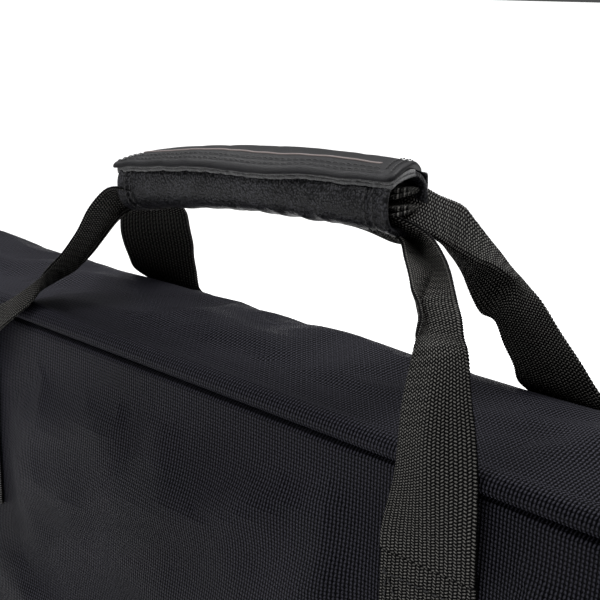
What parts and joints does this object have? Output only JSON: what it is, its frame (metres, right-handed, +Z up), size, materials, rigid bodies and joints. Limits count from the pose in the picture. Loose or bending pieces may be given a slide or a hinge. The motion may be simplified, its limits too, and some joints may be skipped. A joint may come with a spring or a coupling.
{
  "type": "padded gig bag",
  "caption": "Long soft padded gig bag for a slim keyboard, with a zip-open lid, a patch pocket, a webbing carry handle with a wrapped grip, and strap rings.",
  "frame": {"origin": "centre of the flat underside, as the bag stands on its long narrow side", "axes": "+X along the bag's length, +Y out of the lid, +Z up"},
  "size_m": [0.997, 0.1322, 0.4426],
  "materials": {
    "cover": "satin fine ribbed nylon",
    "webbing": "coarse woven",
    "grip_leatherette": "matte grained leatherette",
    "hook_and_loop": "fuzzy",
    "foam": "closed-cell foam",
    "lining": "smooth taffeta",
    "zip_tape": "woven tape",
    "zip_coil": "nylon coil",
    "zip_metal": "black lacquered",
    "ring_metal": "black lacquered"
  },
  "bodies": {
    "shell": {"cover_near_panel": "cover", "cover_top_gusset": "cover", "cover_bottom_gusset": "cover", "cover_left_gusset": "cover", "cover_right_gusset": "cover", "lid_hinge_strip": "cover", "foam_near_panel": "foam", "foam_top": "foam", "foam_bottom": "foam", "foam_left": "foam", "foam_right": "foam", "lining_near_panel": "lining", "lining_gusset": "lining", "zip_tape_shell": "zip_tape", "zip_coil_shell": "zip_coil", "zip_end_stops": "zip_metal", "strap_near_sewn_ends": "webbing", "strap_far_sewn_ends": "webbing", "strap_ring_tab_left": "webbing", "strap_ring_tab_right": "webbing"},
    "lid": {"cover_lid": "cover", "foam_lid": "foam", "lining_lid": "lining", "zip_tape_lid": "zip_tape", "zip_coil_lid": "zip_coil", "pocket_panel": "cover", "pocket_zip_tapes": "zip_tape", "pocket_zip_coils": "zip_coil"},
    "handle": {"grip_sleeve_skin": "grip_leatherette", "grip_sleeve_pad": "foam", "grip_loop_strip": "hook_and_loop", "strap_near_run": "webbing", "strap_far_run": "webbing", "strap_near_leg_left": "webbing", "strap_near_leg_right": "webbing", "strap_far_leg_left": "webbing", "strap_far_leg_right": "webbing"},
    "flap": {"grip_flap": "grip_leatherette", "grip_hook_strip": "hook_and_loop"},
    "slider_left": {"slider_left": "zip_metal"},
    "slider_right": {"slider_right": "zip_metal"},
    "slider_pull_left": {"slider_pull_left": "zip_metal"},
    "slider_pull_right": {"slider_pull_right": "zip_metal"},
    "pocket_slider": {"pocket_slider": "zip_metal"},
    "pocket_pull": {"pocket_pull": "zip_metal"},
    "strap_ring_left": {"strap_ring_left": "ring_metal"},
    "strap_ring_right": {"strap_ring_right": "ring_metal"}
  },
  "joints": [
    {"name": "lid_hinge", "type": "hinge", "parent": "shell", "child": "lid", "pos_m": [0, 0.0561, 0.01275], "axis": [-1, 0, 0], "range_deg": [0, 88]},
    {"name": "slider_right_slide", "type": "slide", "parent": "shell", "child": "slider_right", "axis": [1, 0, 0], "range_m": [0, 0.418]},
    {"name": "slider_left_slide", "type": "slide", "parent": "shell", "child": "slider_left", "axis": [-1, 0, 0], "range_m": [0, 0.418]},
    {"name": "slider_pull_right_flip", "type": "hinge", "parent": "slider_right", "child": "slider_pull_right", "pos_m": [0.012, 0.04284, 0.34738], "axis": [0, -0.6817, 0.7317], "range_deg": [0, 140]},
    {"name": "slider_pull_left_flip", "type": "hinge", "parent": "slider_left", "child": "slider_pull_left", "pos_m": [-0.012, 0.04284, 0.34738], "axis": [0, 0.6817, -0.7317], "range_deg": [0, 140]},
    {"name": "pocket_slider_slide", "type": "slide", "parent": "lid", "child": "pocket_slider", "axis": [1, 0, 0], "range_m": [0, 0.6]},
    {"name": "pocket_pull_swing", "type": "hinge", "parent": "pocket_slider", "child": "pocket_pull", "pos_m": [-0.3, 0.0618, 0.262], "axis": [0, 1, 0], "range_deg": [-75, 75]},
    {"name": "handle_swing", "type": "hinge", "parent": "shell", "child": "handle", "pos_m": [0, -0.019, 0.362], "axis": [-1, 0, 0], "range_deg": [-20, 20], "stiffness_Nm_per_rad": 0.5, "deforming": ["strap_near_leg_left", "strap_near_leg_right", "strap_far_leg_left", "strap_far_leg_right"]},
    {"name": "grip_flap_lift", "type": "hinge", "parent": "handle", "child": "flap", "pos_m": [0.00015, -0.004, 0.43457], "axis": [-0.9968, 0, -0.0802], "range_deg": [0, 110]},
    {"name": "strap_ring_left_swing", "type": "hinge", "parent": "shell", "child": "strap_ring_left", "pos_m": [-0.4943, -0.008, 0.28], "axis": [0, 1, 0], "range_deg": [0, 150]},
    {"name": "strap_ring_right_swing", "type": "hinge", "parent": "shell", "child": "strap_ring_right", "pos_m": [0.4943, -0.008, 0.28], "axis": [0, -1, 0], "range_deg": [0, 150]}
  ],
  "couplings": [
    {"joint": "slider_right_slide", "follows": "lid_hinge", "m_per_rad": 0.272},
    {"joint": "slider_left_slide", "follows": "lid_hinge", "m_per_rad": 0.272}
  ]
}
